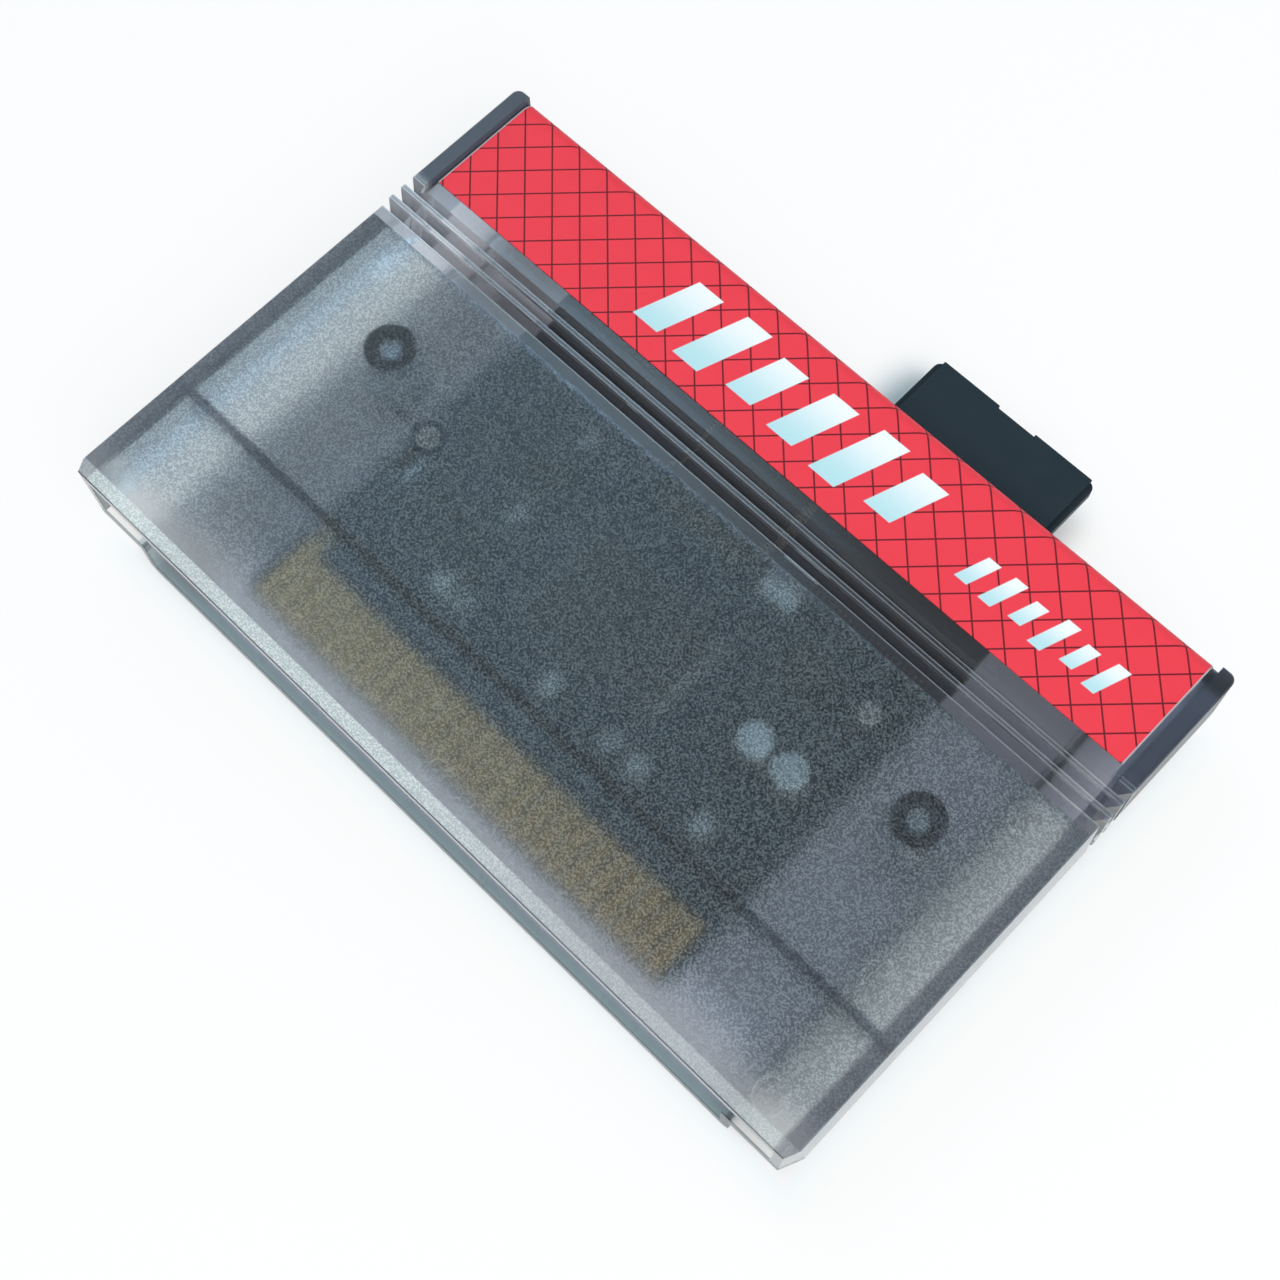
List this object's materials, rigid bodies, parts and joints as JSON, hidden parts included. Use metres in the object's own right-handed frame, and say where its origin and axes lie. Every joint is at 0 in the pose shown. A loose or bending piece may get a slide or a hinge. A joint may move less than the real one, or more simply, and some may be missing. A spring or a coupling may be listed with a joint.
{
  "type": "game cartridge",
  "caption": "Flat see-through game cartridge with grip teeth, a label strip, a circuit board with an open contact edge, and a memory card that slides out of the label end.",
  "frame": {"origin": "centre of the flat rear pad that the cartridge rests on", "axes": "+X across the width, +Y from the open contact end towards the label end, +Z out of the front face"},
  "size_m": [0.1098, 0.0821, 0.0165],
  "materials": {
    "smoke_plastic": "see-through smoke grey, finely pebbled face",
    "label_paper": "glossy red print",
    "board_mask": "dark solder mask",
    "gold": "gold plated",
    "package_black": "moulded, matt",
    "lead_tin": "tin plated",
    "can_aluminium": "bright drawn",
    "base_black": "moulded",
    "pale_ceramic": "fired, matt",
    "socket_plastic": "moulded",
    "socket_steel": "pressed sheet",
    "card_plastic": "fine texture",
    "card_grey": "moulded",
    "screw_steel": "zinc plated"
  },
  "bodies": {
    "cartridge": {"front_shell": "smoke_plastic", "rear_shell": "smoke_plastic", "label": "label_paper", "circuit_board": "board_mask", "edge_contacts_front": "gold", "edge_contacts_rear": "gold", "flash_chip": "package_black", "flash_chip_leads": "lead_tin", "logic_chip": "package_black", "logic_chip_leads": "lead_tin", "ram_chip": "package_black", "ram_chip_leads": "lead_tin", "buffer_chips": "package_black", "buffer_chip_leads": "lead_tin", "config_chip": "package_black", "config_chip_leads": "lead_tin", "voltage_regulator": "package_black", "regulator_leads": "lead_tin", "oscillator_base": "pale_ceramic", "oscillator_lid": "can_aluminium", "capacitor_cans": "can_aluminium", "capacitor_bases": "base_black", "ceramic_capacitors": "pale_ceramic", "capacitor_ends": "lead_tin", "chip_resistors": "package_black", "resistor_ends": "lead_tin", "socket_frame": "socket_plastic", "socket_cover": "socket_steel", "socket_springs": "gold", "shell_screws": "screw_steel"},
    "memory_card": {"card_case": "card_plastic", "card_contacts": "gold"},
    "card_lock": {"card_lock_tab": "card_grey"}
  },
  "joints": [
    {"name": "card_slide", "type": "slide", "parent": "cartridge", "child": "memory_card", "axis": [0, 1, 0], "range_m": [0, 0.02]},
    {"name": "card_lock_slide", "type": "slide", "parent": "memory_card", "child": "card_lock", "axis": [0, 1, 0], "range_m": [0, 0.0027]}
  ]
}
